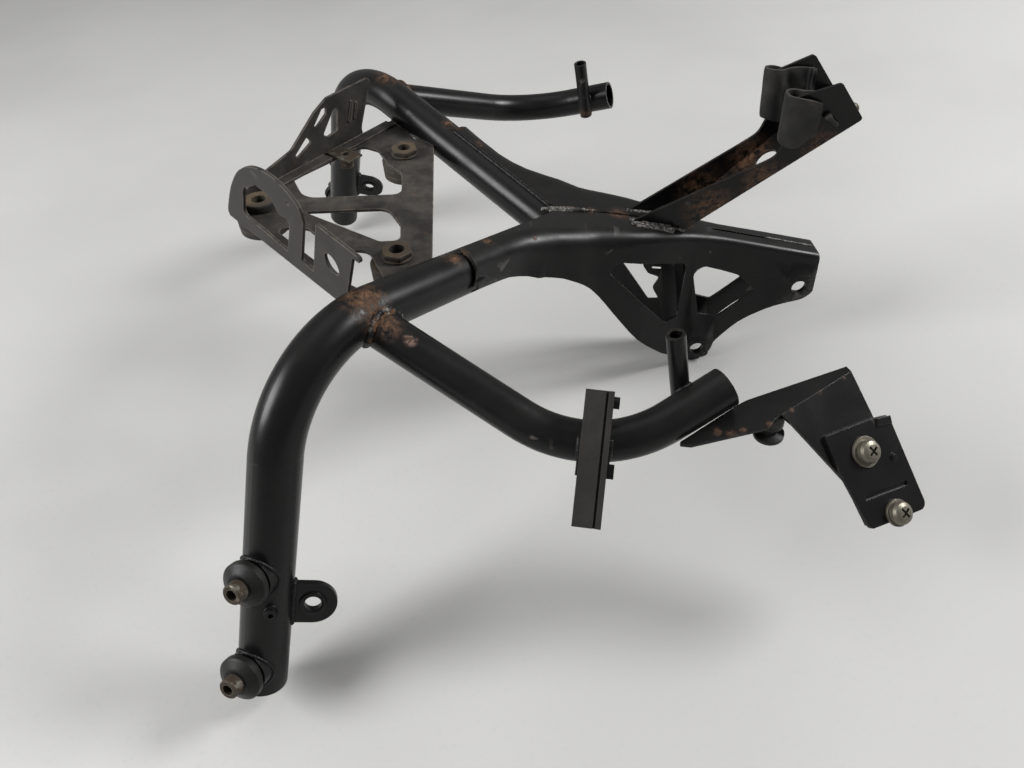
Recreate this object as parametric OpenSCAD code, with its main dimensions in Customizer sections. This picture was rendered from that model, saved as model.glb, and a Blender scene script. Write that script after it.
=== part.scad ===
// Motorcycle fairing stay: a pressed neck that bolts to the headstock, two bent tubes that
// spread forwards and down, branch tubes, a meter bracket and the brackets for the trim.
// Millimetres. X points back to the headstock, Z up, the rider's left is -Y.
// The origin is the axis of the upper headstock bolt, on the plane of symmetry.

/* [Tubes] */
// Outer diameter of the main tubes
main_od = 27.2; // [24:0.2:30]
// Wall of the main tubes
main_wall = 2; // [1.2:0.1:3]
// Bend radius of the main tubes on the centre line
main_bend = 70; // [50:1:80]
// Outer diameter of the branch tubes
branch_od = 21.7; // [19:0.1:24]
// Wall of the branch tubes
branch_wall = 1.8; // [1.2:0.1:2.6]
// Bend radius of the branch tubes on the centre line
branch_bend = 72; // [50:1:90]

/* [Neck] */
// Sheet of the two neck shells
neck_sheet = 2; // [1.5:0.1:2.5]
// Width over the two shells at the headstock
neck_w = 24; // [22:0.5:28]
// Distance between the headstock bolts
bolt_pitch = 86.8; // [80:0.2:94]
// Angle of the line of headstock bolts below the horizontal
bolt_line = 32.7; // [30:0.1:35]
// Bore of the headstock bolt holes
bolt_bore = 10.5; // [8:0.5:12]
// Radius of the lug round each bolt hole
lug_r = 13.5; // [11:0.5:15]
// Side of the raised pad round each bolt hole
pad_side = 19; // [15:0.5:22]
// Height of the raised pad of the upper bolt
pad_h = 1.4; // [0.6:0.1:2]
// Height of the raised pad of the lower bolt, where the shell widens
pad_low_h = 4; // [3.8:0.1:5]

/* [Meter bracket] */
// Sheet of the meter bracket
meter_sheet = 2; // [1.5:0.1:2.5]
// Slope of the meter bracket down to the rear
meter_tilt = 5; // [0:0.5:8]
// Distance from the front grommet to the rear pair
grommet_run = 92.5; // [85:0.5:100]
// Distance between the two rear grommets
grommet_span = 131.6; // [120:0.4:138]
// Bore of the rubber grommets
grommet_bore = 9.5; // [7:0.5:11]
// Diameter of the upper flange of a grommet
grommet_flange = 21; // [18:0.5:24]

/* [Leg fittings] */
// Diameter of the rubber of a bobbin
bobbin_d = 25.5; // [22:0.5:27]
// Distance from the tube's surface to the tip of the threaded insert
bobbin_reach = 16; // [13:0.2:19]
// Outer diameter of the threaded insert
insert_d = 11; // [9:0.5:12]
// Thread of inserts and nuts
thread_d = 6; // [5:1:6]
// Distance between the two bobbins along the leg
bobbin_pitch = 60.2; // [54:0.2:66]
// Width of the leg tab
tab_w = 26; // [20:0.5:28]

/* [Channel arm] */
// Sheet of the channel arm
arm_sheet = 2; // [1.5:0.1:2.5]
// Inner width of the channel arm at its foot
arm_foot_w = 20; // [16:0.5:24]
// Inner width of the channel arm at its end
arm_end_w = 44; // [38:0.5:48]
// Length of the channel arm along its web
arm_len = 112; // [104:1:120]
// Rise of the web above the horizontal
arm_rise = 35.7; // [32:0.1:38]

/* [Side brackets] */
// Sheet of the side bracket
side_sheet = 2; // [1.5:0.1:2.5]
// Slope of the side bracket's face below the horizontal
side_drop = 45; // [38:1:50]
// Length of the rubber strip on the left branch tube
strip_len = 66; // [60:1:76]
// Width of the rubber strip
strip_w = 14; // [12:0.5:16]

/* [Hidden] */
$fn = 48;
black = [0.10, 0.10, 0.11];
dusty = [0.33, 0.31, 0.28];
rubber = [0.16, 0.16, 0.16];
zinc = [0.62, 0.61, 0.57];

// Points on the left side; the right side is the mirror image.
main_start = [-173.6, 0, 64.5];
main_knee = [-321, -176, 132];
leg_dir = [-0.276, -0.363, -0.890];
leg_len = 199;
main_end = main_knee + leg_dir * leg_len;
branch_start = [-290, -138.3, 115.9];
branch_knee = [-180, -209.3, 59.3];
branch_end = [-108.4, -181.2, 76.7];

// Vector helpers
function unit(v) = v / norm(v);
function lerp(a, b, t) = a + (b - a) * t;
function spline(p0, p1, p2, p3, t) =
    0.5 * (2 * p1 + (p2 - p0) * t + (2 * p0 - 5 * p1 + 4 * p2 - p3) * t * t
    + (3 * p1 - p0 - 3 * p2 + p3) * t * t * t);
// Smooth curve through the points of a list, n steps to a span
function smooth(p, n) = [for (i = [0:len(p) - 2]) for (k = [0:n - 1])
    spline(p[max(i - 1, 0)], p[i], p[i + 1], p[min(i + 2, len(p) - 1)], k / n), p[len(p) - 1]];
// Outline with every corner rounded: each point is [x, y, radius]
function xy(p) = [p[0], p[1]];
function corner(a, b, c, n) =
    let (u = unit(xy(a) - xy(b)), w = unit(xy(c) - xy(b)), half = acos(u * w) / 2,
        t = b[2] / tan(half), m = xy(b) + unit(u + w) * b[2] / sin(half),
        s = xy(b) + u * t - m, e = xy(b) + w * t - m, turn = 180 - 2 * half)
    [for (k = [0:n]) m + (s * sin(turn * (1 - k / n)) + e * sin(turn * k / n)) / sin(turn)];
function rounded(p, n = 5) = [for (i = [0:len(p) - 1])
    each (p[i][2] > 0 ? corner(p[(i + len(p) - 1) % len(p)], p[i], p[(i + 1) % len(p)], n)
        : [xy(p[i])])];

// Places children in a frame: x and z are directions, o the origin
module frame(o, x, z) {
    zz = unit(z);
    xx = unit(x - zz * (x * zz));
    yy = cross(zz, xx);
    multmatrix([[xx[0], yy[0], zz[0], o[0]], [xx[1], yy[1], zz[1], o[1]],
        [xx[2], yy[2], zz[2], o[2]], [0, 0, 0, 1]]) children();
}
module rod(a, b, d, hint) frame(a, hint, b - a) cylinder(d = d, h = norm(b - a));
// Solid rod from a to c with one bend of radius r at b, drawn in the plane of the bend. The
// straights reach bend_lap into the bend, which draws thinner by bend_slim; over lengthens both.
bend_lap = 1;
bend_slim = 0.1;
module bent_rod(a, b, c, r, d, over = 0) {
    u = unit(a - b);
    w = unit(c - b);
    half = acos(u * w) / 2;
    turn = 180 - 2 * half;
    s = b + u * r / tan(half);
    e = b + w * r / tan(half);
    centre = b + unit(u + w) * r / sin(half);
    frame(centre, s - centre, cross(s - centre, e - centre)) {
        translate([r, bend_lap, 0]) rotate([90, 0, 0])
            cylinder(d = d, h = norm(a - s) + bend_lap + over);
        rotate_extrude(angle = turn, $fn = 72) translate([r, 0]) circle(d = d - bend_slim, $fn = 48);
        rotate([0, 0, turn]) translate([r, -bend_lap, 0]) rotate([-90, 0, 0])
            cylinder(d = d, h = norm(c - e) + bend_lap + over);
    }
}
// Solid core of the lower leg, longer than the leg itself
module leg_core() rod(main_knee, main_end + leg_dir * 20, main_od, [1, 0, 0]);
module on_side(side) mirror([0, side > 0 ? 1 : 0, 0]) children();

// Main tubes
mitre_run = 16;
main_root = main_start - unit(main_knee - main_start) * mitre_run;
module main_rod(d, over = 0) bent_rod(main_root, main_knee, main_end, main_bend, d, over);
module main_tube(side) color(black) on_side(side) intersection() {
    difference() {
        main_rod(main_od);
        main_rod(main_od - 2 * main_wall, 1);
    }
    translate([-450, -320, -100]) cube([320, 320, 300]);
}

// Branch tubes: the front end is fish-mouthed over the main tube
module branch_rod(d, over = 0) bent_rod(branch_start, branch_knee, branch_end, branch_bend, d, over);
module branch_tube(side) color(black) on_side(side) difference() {
    branch_rod(branch_od);
    branch_rod(branch_od - 2 * branch_wall, 1);
    main_rod(main_od);
}

// Spigots: upright stubs with a blind bore, welded to the inner side of each branch tube
spigot_od = 10;
spigot_bore = 6.6;
spigot_top = [-134, -173.5, 109.5];
spigot_foot = [-129.5, -178.5, 63];
spigot_up = unit(spigot_top - spigot_foot);
spigot_deep = 25;
module spigot(side) color(black) on_side(side) difference() {
    rod(spigot_foot, spigot_top, spigot_od, [1, 0, 0]);
    rod(spigot_top - spigot_up * spigot_deep, spigot_top + spigot_up, spigot_bore, [1, 0, 0]);
    branch_rod(branch_od);
}

// Neck shells: sections along the seam, each [seam x, y, z, heading, lean, flat, shoulder, bottom z]
arm_dir = unit(main_knee - main_start);
ridge = main_od / 2 / arm_cos() + neck_sheet + 0.25;
function arm_cos() = norm([arm_dir[0], arm_dir[1]]);
function ridge_point(s) = main_start + arm_dir * s + [0, 0, ridge];
arm_heading = atan2(-arm_dir[1], -arm_dir[0]);
half_w = neck_w / 2;
wrap_r = main_od / 2 + neck_sheet + 0.1;
function seam_row(x, z, heading, flat, r, low) = [x, 0, z, heading, 0, flat, r, low];
function arm_row(s, heading, lean, flat, r, low) =
    let (p = ridge_point(s)) [p[0], p[1], p[2], heading, lean, flat, r, low];
neck_rows = [
    seam_row(12, 25.2, 0, half_w - 4.5, 4.5, -75),
    seam_row(-30, 39.3, 0, half_w - 4.5, 4.5, -75),
    seam_row(-60, 49.3, 0, half_w - 5, 5, -75),
    seam_row(-82, 56.7, 5, half_w - 3, 6.5, -75),
    seam_row(-104, 64, 10, half_w + 2, 8, -75),
    seam_row(-128, 71, 15, half_w + 7.5, 10, -60),
    seam_row(-152, 77, 21, half_w + 11, 12, -20),
    seam_row(-172, 81.2, 29, half_w + 15, 13.5, 0),
    arm_row(20, 38, 0, 19, 14.5, 20),
    arm_row(45, 45, 0.1, 6.5, 15, 40),
    arm_row(70, arm_heading - 0.6, 0.3, 1, wrap_r, 52),
    arm_row(106, arm_heading, 0.52, 1.8, wrap_r + 1, 64)];
row_steps = 2;
neck_sections = smooth(neck_rows, row_steps);
arc_steps = 5;
// One section point: out is the distance inside the outer face
function section(q, inset) =
    let (out = [sin(q[3]), -cos(q[3]), 0], ahead = [-cos(q[3]), -sin(q[3]), 0],
        down = [0, 0, -1] + ahead * q[4], seam = [q[0], q[1], q[2]],
        r = q[6] - inset, wall = q[2] - q[7])
    [seam + down * inset, seam + out * q[5] + down * inset,
        for (k = [1:arc_steps]) let (a = 90 * k / arc_steps)
            seam + out * (q[5] + r * sin(a)) + down * (inset + r * (1 - cos(a))),
        seam + out * (q[5] + r) + down * wall];
module neck_loft() {
    rings = [for (q = neck_sections) let (o = section(q, 0), i = section(q, neck_sheet))
        concat(o, [for (k = [len(i) - 1:-1:0]) i[k]])];
    n = len(rings[0]);
    m = len(rings);
    points = [for (ring = rings) each ring];
    sides = [for (i = [0:m - 2]) for (k = [0:n - 1])
        let (a = i * n + k, b = i * n + (k + 1) % n) each [[a, b, b + n], [a, b + n, a + n]]];
    h = n / 2;
    first = [for (k = [0:h - 2]) each [[k, n - 1 - k, n - 2 - k], [k, n - 2 - k, k + 1]]];
    last = [for (f = first) [for (v = [2:-1:0]) f[v] + (m - 1) * n]];
    polyhedron(points = points, faces = concat(sides, first, last), convexity = 6);
}
// Side view of a shell in X and Z
bolt_low = [-bolt_pitch * cos(bolt_line), -bolt_pitch * sin(bolt_line)];
lower_edge = smooth([[-102, -42], [-122.5, -19.5], [-140, 9.5], [-151.5, 29.7], [-162, 44.6],
    [-178, 57.2], [-194, 66], [-209.5, 75.7], [-224, 85], [-240, 92], [-266, 98]], 3);
throat_edge = smooth([[bolt_low[0] + lug_r, bolt_low[1] - 2], [-57.5, -44], [-45, -31], [-33, -23],
    [-16, -16.5], [2, -lug_r]], 3);
module neck_outline() {
    polygon(concat([[13.5, 0], [13.5, 120], [-290, 120]],
        [for (k = [len(lower_edge) - 1:-1:0]) lower_edge[k]],
        [bolt_low + lug_r * [-0.35, -0.93]], throat_edge));
    translate(bolt_low) circle(r = lug_r);
    circle(r = lug_r);
}
window_front = [[-146, 50, 5], [-136, 54, 6], [-86, 36, 5], [-91, -10, 4], [-101, -12, 3]];
// In the right shell a hooked tab is left standing in the front window
window_hooked = [[-146, 50, 5], [-136, 54, 6], [-112, 45.4, 3], [-108.5, 9, 2], [-105, 3, 3],
    [-98, 0.8, 1.5], [-97.3, -2, 1], [-101.3, -11, 4], [-96.5, -21, 1], [-104, -22, 1]];
hook_slot = [[-102.5, 9.8, 1.2], [-95.5, 9.8, 1.2], [-95.5, 6.8, 1.2], [-102.5, 6.8, 1.2]];
window_rear = [[-81, 27, 6], [-72, 29, 5], [-47, 17, 5], [-31, 1, 2.5], [-58, -20, 4],
    [-74, -14, 4]];
module through(h) rotate([90, 0, 0]) translate([0, 0, -1]) linear_extrude(height = h) children();
slots = [[-147, -117], [-66, -27]];
module neck_shell(side) color(black) on_side(side) difference() {
    union() {
        intersection() {
            neck_loft();
            through(140) neck_outline();
        }
        for (p = [[0, 0, pad_h], [bolt_low[0], bolt_low[1], pad_low_h]])
            translate([p[0], 0.01 - half_w + neck_sheet / 2, p[1]])
            rotate([90, 0, 0]) linear_extrude(height = p[2] + neck_sheet / 2)
                polygon(rounded([for (c = [[1, 1], [-1, 1], [-1, -1], [1, -1]])
                    [c[0] * pad_side / 2, c[1] * pad_side / 2, 4]]));
    }
    for (w = side < 0 ? [window_front, window_rear] : [window_hooked, hook_slot, window_rear])
        through(140) polygon(rounded(w));
    for (p = [[0, 0], bolt_low]) translate([p[0], 1, p[1]]) rotate([90, 0, 0])
        cylinder(d = bolt_bore, h = 2 * neck_w);
    for (s = slots) translate([s[0], -1.1, 0]) cube([s[1] - s[0], 3, 120]);
}

// Meter bracket: a flat plate between the arms, in its own tilted plane
meter_top = [-369.3, 0, 110];
module meter_plane() translate(meter_top) rotate([0, meter_tilt, 0]) children();
rear_x = 113.5;
plate_outline = [[-22, 0, 0], [-20, -10, 6], [34, -73, 4], [82, -130, 3], [112, -60, 0],
    [rear_x, -60, 0], [rear_x, 60, 0], [112, 60, 0], [82, 130, 3], [34, 73, 4], [-20, 10, 6]];
rear_pad = [[96, -90, 0], [rear_x, -90, 0], [rear_x, 90, 0], [96, 90, 0]];
far_window = [[16, 37, 5], [60, 83, 8], [73, 74, 6], [81, 52, 8], [91, 38, 5], [92.5, 9, 6],
    [27, 9, 14]];
near_window = [[29, -8.5, 1], [84, -9, 10], [93, -30, 6], [93.5, -47.5, 4], [81, -48, 4]];
edge_window = [[15, -30, 3], [21, -27, 3], [35, -29, 5], [52, -53, 4], [75, -58, 8], [81, -75, 6],
    [88, -91, 4], [75, -99, 4], [58, -84, 3], [38, -59, 2]];
module meter_plate() color(dusty) difference() {
    meter_plane() difference() {
        translate([0, 0, -meter_sheet]) linear_extrude(height = meter_sheet) union() {
            polygon(rounded(plate_outline));
            polygon(rounded(rear_pad));
        }
        for (w = [far_window, near_window, edge_window])
            translate([0, 0, -meter_sheet - 1]) linear_extrude(height = meter_sheet + 2)
                polygon(rounded(w));
        for (p = grommet_places) translate([p[0], p[1], -meter_sheet - 1])
            cylinder(d = grommet_neck, h = meter_sheet + 2);
    }
    for (side = [-1, 1]) on_side(side) {
        main_rod(main_od);
        flange_plane() translate([-50, -50, -meter_sheet]) cube([300, 100, 60]);
    }
}
grommet_places = [[0, 0], [grommet_run, -grommet_span / 2], [grommet_run, grommet_span / 2]];
grommet_neck = 15;
grommet_body = 21;
flange_t = 5.2;
module grommet(place, six) color(rubber) meter_plane() translate([place[0], place[1], 0]) {
    rotate_extrude() polygon([[grommet_bore / 2, -18], [grommet_body / 2 - 3, -18],
        [grommet_body / 2 - 0.5, -15], [grommet_body / 2, -6], [grommet_body / 2, -meter_sheet],
        [grommet_neck / 2, -meter_sheet], [grommet_neck / 2, 0], [grommet_flange / 2, 0],
        [grommet_flange / 2, flange_t - 1.2], [grommet_flange / 2 - 1.5, flange_t],
        [grommet_bore / 2, flange_t]]);
    if (six) difference() {
        linear_extrude(height = flange_t - 0.8) polygon(rounded([for (k = [0:5])
            [0.59 * grommet_flange * cos(60 * k + 12), 0.59 * grommet_flange * sin(60 * k + 12), 3]]));
        translate([0, 0, -1]) cylinder(d = grommet_flange - 4, h = flange_t + 2);
    }
}

// Upright flanges of the meter bracket: u runs along the edge, v is height above the plate
flange_foot = [-389, -4.5];
flange_turn = atan2(-101, 82);
module flange_plane() translate([flange_foot[0], flange_foot[1], 110]) rotate([0, 0, flange_turn])
    rotate([90, 0, 0]) children();
module flange_sheet() translate([0, 0, -meter_sheet]) linear_extrude(height = meter_sheet) children();
hood_arch = [[0, 2.5], [5, 9], [21.8, 27], [42, 43.8], [60, 53], [76, 57], [92, 57], [104, 53], [112.5, 46],
    [112.5, 37]];
module hood_shape() difference() {
    polygon(rounded(concat([[0, -1, 0]], [for (p = smooth(hood_arch, 3)) [p[0], p[1], 0]],
        [[92.5, 4, 1.5], [105, 2, 2], [128, 42.5, 2], [167, 38, 1.5], [165, 34.5, 1], [159, 35, 1],
        [133, -9.3, 0]])));
    polygon(rounded([[26, 10, 3], [43, 34, 3], [64, 43, 4], [80, 41, 3], [83, 32, 2], [96, 32, 3],
        [77, 4, 2]]));
    translate([132.5, 19.5]) circle(r = 6.5);
    translate([100.5, 45]) circle(r = 1.2);
}
module low_flange_shape() difference() {
    polygon(rounded([[0, -3, 0], [0, 4, 3], [34, 10.5, 8], [57, 13.5, 8], [85, 29, 8], [99, 34, 6],
        [144.5, 32, 3], [124, 1, 0], [124, -9.5, 0]]));
    polygon(rounded([[57.5, 8, 1], [73, 16.5, 1.5], [76, 11.5, 1.5], [62, 7, 1]]));
    polygon(rounded([[79, 18.5, 1], [92, 28.5, 1.5], [97, 28.5, 1.5], [95, 24, 1], [85, 19.5, 1]]));
    polygon(rounded([[87, 11, 1.5], [102, 24, 1.5], [106.5, 24, 1.5], [101.5, 9, 1.5], [92, 8.5, 1.5]]));
}
// Pressed ribs on the inner face of the far flange and the lip that lies on the plate
module far_ribs() {
    for (r = [[112, 11, 3, 15], [118, 11, 2.4, 12]])
        translate([r[0], r[1], -meter_sheet - 1]) rotate([0, 0, -28])
            linear_extrude(height = 2) polygon(rounded([[0, 0, 1], [r[2], 0, 1], [r[2], r[3], 1],
                [0, r[3], 1]]));
}
lip_w = 9;
module far_lip() intersection() {
    flange_plane() translate([24, -30, -meter_sheet - lip_w]) cube([126, 60, lip_w + 0.5]);
    mirror([0, 1, 0]) meter_plane() translate([-30, 0, 0]) cube([150, 120, 1.6]);
}
module meter_flange(side) color(dusty) on_side(side) difference() {
    union() {
        flange_plane() flange_sheet() {
            if (side < 0) hood_shape();
            else low_flange_shape();
        }
        if (side > 0) {
            flange_plane() far_ribs();
            far_lip();
        }
    }
    main_rod(main_od);
}

// Clip nut on the lip of the far flange
module clip_nut() color(zinc) on_side(1) meter_plane() translate([37.3, -74.7, 1.6])
    rotate([0, 0, 39]) difference() {
    union() {
        translate([3, -6.5, 0]) cube([24, 13, 1.4]);
        translate([16.5, 0, -8]) cylinder(d = 9.5, h = 8.5);
    }
    translate([16.5, 0, -9]) cylinder(d = thread_d, h = 12);
}

// Leg fittings
bobbin_axis = unit([-0.362, -0.8185, 0.446]);
lower_bobbin = 16.1;
bobbin_up = leg_len - lower_bobbin - bobbin_pitch;
function leg_point(s) = main_knee + leg_dir * s;
bobbin_spots = [leg_point(bobbin_up), leg_point(bobbin_up + bobbin_pitch)];
cup_root = main_od / 2 - 6.6;
cup_end = main_od / 2 + 0.9;
groove_end = cup_end + 2;
disc_end = cup_end + 6.5;
dome_end = cup_end + 8.9;
insert_end = main_od / 2 + bobbin_reach;
module on_leg(side, i) on_side(side) frame(bobbin_spots[i], [0, 0, 1], bobbin_axis) children();
module cup(side, i) color(black) difference() {
    on_leg(side, i) translate([0, 0, cup_root]) cylinder(d = bobbin_d - 2, h = cup_end - cup_root);
    on_side(side) leg_core();
}
module bobbin(side, i) color(rubber) on_leg(side, i) rotate_extrude() polygon([
    [insert_d / 2, cup_end], [bobbin_d / 2 - 2.2, cup_end], [bobbin_d / 2 - 2.2, groove_end],
    [bobbin_d / 2 - 0.6, groove_end], [bobbin_d / 2, groove_end + 0.6], [bobbin_d / 2, disc_end - 0.8],
    [bobbin_d / 2 - 0.8, disc_end], [bobbin_d / 2 - 4.5, dome_end - 0.4],
    [bobbin_d / 2 - 5.5, dome_end], [insert_d / 2, dome_end]]);
module insert(side, i) color(zinc) on_leg(side, i) difference() {
    union() {
        translate([0, 0, cup_end]) cylinder(d = insert_d, h = insert_end - cup_end - 0.6);
        translate([0, 0, insert_end - 0.6]) cylinder(d1 = insert_d, d2 = insert_d - 1.2, h = 0.6);
    }
    translate([0, 0, cup_end + 1]) cylinder(d = thread_d, h = insert_end - cup_end);
}
// Short hollow pin on the near face of each leg
module leg_pin(side) color(black) difference() {
    on_side(side) frame(leg_point(tab_up - 3.5) + tab_out * 3.2, tab_out, tab_normal) difference() {
        translate([0, 0, main_od / 2 - 4.6]) cylinder(d = 6.5, h = 8);
        translate([0, 0, main_od / 2 + 0.4]) cylinder(d = 3, h = 4);
    }
    on_side(side) leg_core();
}
tab_normal = unit([0.159, -0.93, 0.334]);
tab_out = unit(cross(tab_normal, leg_dir));
tab_up = leg_len - 53.5;
tab_reach = main_od / 2 + 10.4;
tab_sheet = 3;
module on_tab(side) on_side(side) frame(leg_point(tab_up), tab_out, tab_normal) children();
module leg_tab(side) color(black) difference() {
    on_tab(side) translate([0, 0, -tab_sheet / 2]) difference() {
        linear_extrude(height = tab_sheet) union() {
            translate([main_od / 4, -tab_w / 2]) square([tab_reach - main_od / 4, tab_w]);
            translate([tab_reach, 0]) circle(d = tab_w);
        }
        translate([tab_reach, 0, -1]) cylinder(d = thread_d + 3, h = tab_sheet + 2);
    }
    on_side(side) leg_core();
}
nut_body = 5;
nut_ring = 1.5;
module tab_nut(side) color(black) on_tab(side) translate([tab_reach, 0, -tab_sheet / 2]) difference() {
    union() {
        translate([0, 0, tab_sheet]) cylinder(d = 14, h = nut_ring);
        cylinder(d = thread_d + 3, h = tab_sheet + 0.5);
        translate([0, 0, -nut_body]) cylinder(d = 13, h = nut_body, $fn = 6);
        translate([0, 0, -nut_body]) cylinder(d = 10, h = nut_body + 0.5);
    }
    translate([0, 0, -nut_body - 1]) cylinder(d = thread_d, h = nut_body + tab_sheet + nut_ring + 2);
}

// Channel arm: a U pressing on top of the neck; p runs along the web, q is height above it
arm_foot = [-78.4, 0, 69.4];
module arm_plane() translate(arm_foot) rotate([0, -arm_rise, 0]) children();
ear_front = [[70, 14.4], [86.3, 37.2]];
wall_side = [[-20, -2, 0], [arm_len, -2, 2], [arm_len, 27.5, 3], [ear_front[1][0], ear_front[1][1], 3],
    [ear_front[0][0], ear_front[0][1], 3], [59.5, 8.6, 12], [47, 10.7, 0], [-60, 31.8, 0], [-60, 0, 0]];
function arm_half(p) = lerp(arm_foot_w, arm_end_w, p / arm_len) / 2;
flare = atan2(arm_half(arm_len) - arm_half(0), arm_len);
module on_wall(side) on_side(side) translate([0, -arm_half(0), 0]) rotate([0, 0, -flare])
    rotate([90, 0, 0]) children();
module arm_wall(side) on_wall(side) linear_extrude(height = arm_sheet) polygon(rounded(wall_side));
arm_bolt_at = [arm_len - 5, -12];
module channel_arm() color(black) difference() {
    arm_plane() difference() {
        union() {
            for (side = [-1, 1]) arm_wall(side);
            translate([0, 0, -2]) linear_extrude(height = arm_sheet) polygon([
                [-26, -arm_half(-26) - 0.5], [arm_len - 1, -arm_half(arm_len) - 0.5],
                [arm_len - 1, arm_half(arm_len) + 0.5], [-26, arm_half(-26) + 0.5]]);
        }
        translate([54, 0, -4]) cylinder(d = 15, h = 6);
        translate([arm_bolt_at[0], arm_bolt_at[1], -4]) cylinder(d = thread_d, h = 6);
    }
    neck_keepout();
}
// The space that the neck takes under the foot of the channel arm
module neck_keepout() rotate([90, 0, 0]) translate([0, 0, -60]) linear_extrude(height = 120)
    polygon([[12, -20], [12, 25.2], [-60, 49.3], [-82, 56.7], [-104, 64], [-128, 71], [-152, 77],
        [-152, -20]]);
pad_sheet = 2.5;
pad_shape = [[68.3, 18, 2], [86, 42, 3], [102, 23, 3], [85, 9.2, 3], [73, 12.6, 3]];
module channel_pad(side) color(rubber) arm_plane() difference() {
    on_wall(side) translate([0, 0, -pad_sheet]) linear_extrude(height = arm_sheet + 2 * pad_sheet)
        polygon(rounded(pad_shape));
    arm_wall(side);
}
module channel_bolt() color(zinc) arm_plane() translate([arm_bolt_at[0], arm_bolt_at[1], 0]) {
    rotate_extrude() polygon([[0, 0], [7, 0], [7, 1.4], [5.6, 4], [3.2, 5.6], [0, 6]]);
    translate([0, 0, -6]) cylinder(d = thread_d, h = 7);
}

// Rubber strip and its block on the left branch tube
strip_face = unit([-0.08, -0.66, 0.75]);
strip_long = unit([-15, -46, -48]);
strip_middle = [-181.4, -215.3, 73.3];
strip_t = 4;
module on_strip() frame(strip_middle, strip_long, strip_face) children();
module rubber_strip() color(rubber) on_strip() difference() {
    translate([-strip_len / 2, -strip_w / 2, 0]) cube([strip_len, strip_w, strip_t]);
    translate([-strip_len / 2 - 1, strip_w / 2 - 4, strip_t - 1.5]) cube([strip_len + 2, 1.2, 3]);
}
module strip_block() color(black) difference() {
    on_strip() {
        translate([-31, 1 - strip_w / 2, -3]) cube([43, strip_w - 2, 3]);
        translate([-9, -strip_w / 2 - 1, -9]) cube([18, strip_w + 2, 9]);
        translate([-28, strip_w / 2 - 3, -4]) rotate([-90, 0, 0]) cylinder(d = 6, h = 6);
        translate([2, strip_w / 2 - 3, -7]) cube([7, 6.5, 7]);
    }
    branch_rod(branch_od);
}

// Side bracket at the end of the left branch tube: a top plate and a sloping face
fold_start = [-88.5, -197.5, 65];
fold_dir = unit([0.876, 0.483, 0]);
fold_out = [fold_dir[1], -fold_dir[0], 0];
face_dir = fold_out * cos(side_drop) - [0, 0, sin(side_drop)];
face_up = cross(fold_dir, face_dir) * -1;
fold_len = 59;
module on_top() frame(fold_start, fold_dir, [0, 0, 1]) children();
module on_face() frame(fold_start, fold_dir, face_up) children();
screw_at = [[42.3, -39.5], [43.6, -76.2]];
module side_bracket() color(black) difference() {
    union() {
        on_top() translate([0, 0, -side_sheet]) linear_extrude(height = side_sheet)
            polygon(rounded([[4, 0, 0], [fold_len, 0, 0], [fold_len + 1, 4, 0], [1.4, 18, 0],
                [-4.5, 18.4, 2], [-47, 17.2, 1], [-42, 12.3, 1], [-4, -2.2, 1]]));
        on_face() translate([0, 0, -side_sheet]) linear_extrude(height = side_sheet)
            polygon(rounded([[7, 0, 0], [11, -8, 3], [25, -49, 4], [25, -74, 1], [50, -80, 1],
                [63, -60, 2], [fold_len, -28, 2], [fold_len, 0, 0]]));
    }
    branch_rod(branch_od);
    for (p = screw_at) on_face() translate([p[0], p[1], -side_sheet - 1])
        cylinder(d = thread_d + 0.5, h = side_sheet + 2);
}
module nut_plate() color(black) on_face() difference() {
    union() {
        linear_extrude(height = side_sheet) polygon(rounded([[23.5, -21, 1], [57, -27, 1], [66, -29.5, 3],
            [66.5, -35, 3], [63.5, -84, 4], [24.4, -75.5, 3], [22.5, -40, 4]]));
        translate([57.4, -50.5, side_sheet - 0.5]) cylinder(d1 = 5.4, d2 = 3, h = 1.7);
        translate([57, -32, side_sheet - 0.5]) rotate([0, 0, -15]) cube([9, 4, 1.7]);
    }
    for (p = screw_at) translate([p[0], p[1], -1]) cylinder(d = thread_d + 0.5, h = side_sheet + 2);
    translate([44.2, -63.2, side_sheet - 1]) rotate([0, 0, -12.2]) translate([-14.7, -1.2, 0])
        cube([29.4, 2.4, 2]);
}
module at_screw(i) on_face() translate([screw_at[i][0], screw_at[i][1], side_sheet]) children();
washer_t = 1.4;
module side_washer(i) color(zinc) at_screw(i) difference() {
    cylinder(d = i == 0 ? 16.5 : 14.5, h = washer_t);
    translate([0, 0, -1]) cylinder(d = thread_d, h = 4);
}
module side_screw(i) color(zinc) at_screw(i) difference() {
    union() {
        translate([0, 0, washer_t]) rotate_extrude() polygon([[0, 0], [6.3, 0], [6.3, 2.4], [5.5, 3.8],
            [3.6, 4.7], [0, 5]]);
        translate([0, 0, -5 - side_sheet]) cylinder(d = thread_d, h = side_sheet + washer_t + 5.5);
    }
    for (t = [0, 90]) rotate([0, 0, t + 20]) translate([-3.2, -0.7, washer_t + 2.6]) cube([6.4, 1.4, 4]);
}
module well_nut() color(rubber) on_top() translate([2.5, 2, -side_sheet]) rotate_extrude() polygon([
    [2.5, 0], [6.5, 0], [6.5, -2.6], [4.2, -3.4], [4.2, -8], [7.8, -9.4], [7.8, -11.4], [6.8, -12.4],
    [2.5, -12.4]]);

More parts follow.
